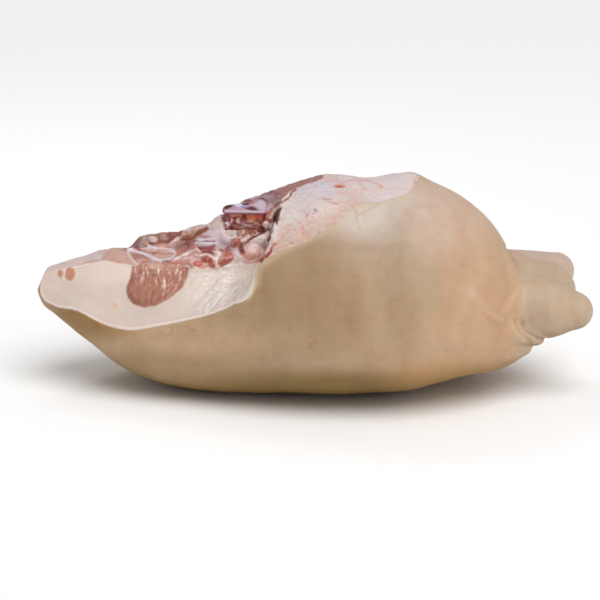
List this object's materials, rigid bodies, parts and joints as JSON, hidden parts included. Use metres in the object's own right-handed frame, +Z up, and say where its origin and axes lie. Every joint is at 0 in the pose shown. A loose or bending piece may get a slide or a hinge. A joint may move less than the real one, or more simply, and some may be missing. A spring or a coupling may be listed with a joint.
{
  "type": "raw pork ham on the bone",
  "caption": "Raw ham on the bone with its rind on, lying on its side, cut across the butt end with the split hip bone showing, and a short hock.",
  "frame": {"origin": "middle of the box's underside, on the surface that the ham lies on", "axes": "+X from the butt end to the hock, along the longest extent; -Y is the side that the fat face looks to; +Z up"},
  "size_m": [0.5006, 0.2522, 0.1874],
  "materials": {
    "flesh": "raw pork rind, fat and lean, moist and softly glossy",
    "bone": "wet split bone with a bluish cap of gristle"
  },
  "bodies": {
    "root": {"ham": "flesh", "hip_bone": "bone"}
  },
  "joints": []
}
